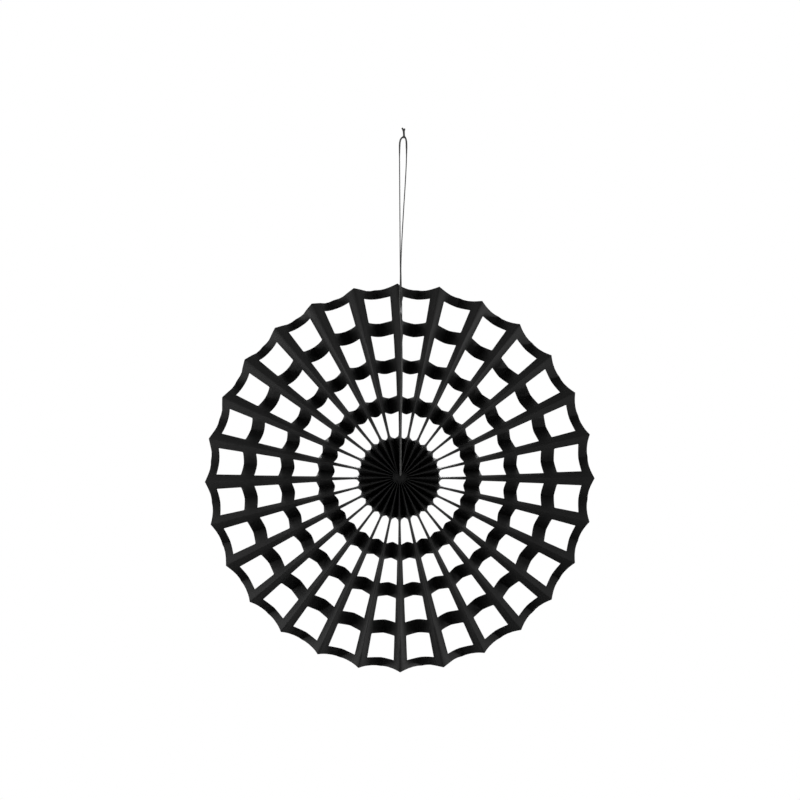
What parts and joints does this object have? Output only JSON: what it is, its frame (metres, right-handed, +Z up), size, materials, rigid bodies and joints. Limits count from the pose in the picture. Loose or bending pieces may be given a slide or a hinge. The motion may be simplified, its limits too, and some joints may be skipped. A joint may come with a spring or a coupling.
{
  "type": "paper fan medallion",
  "caption": "Round hanging fan of pleated black card with rows of cut windows, a scalloped rim, and a knotted thread loop from its core.",
  "frame": {"origin": "middle of the folded fan, half way from its front folds to its back folds", "axes": "+Z up towards the hanging loop, -Y out of the front face, +X to the right seen from the front"},
  "size_m": [0.3, 0.0235, 0.42],
  "materials": {
    "black_card": "matt dyed card with a faint sheen",
    "dark_thread": "twisted grey-black cotton"
  },
  "bodies": {
    "root": {"fan_sheet": "black_card", "draw_thread": "dark_thread", "hang_thread": "dark_thread"}
  },
  "joints": []
}
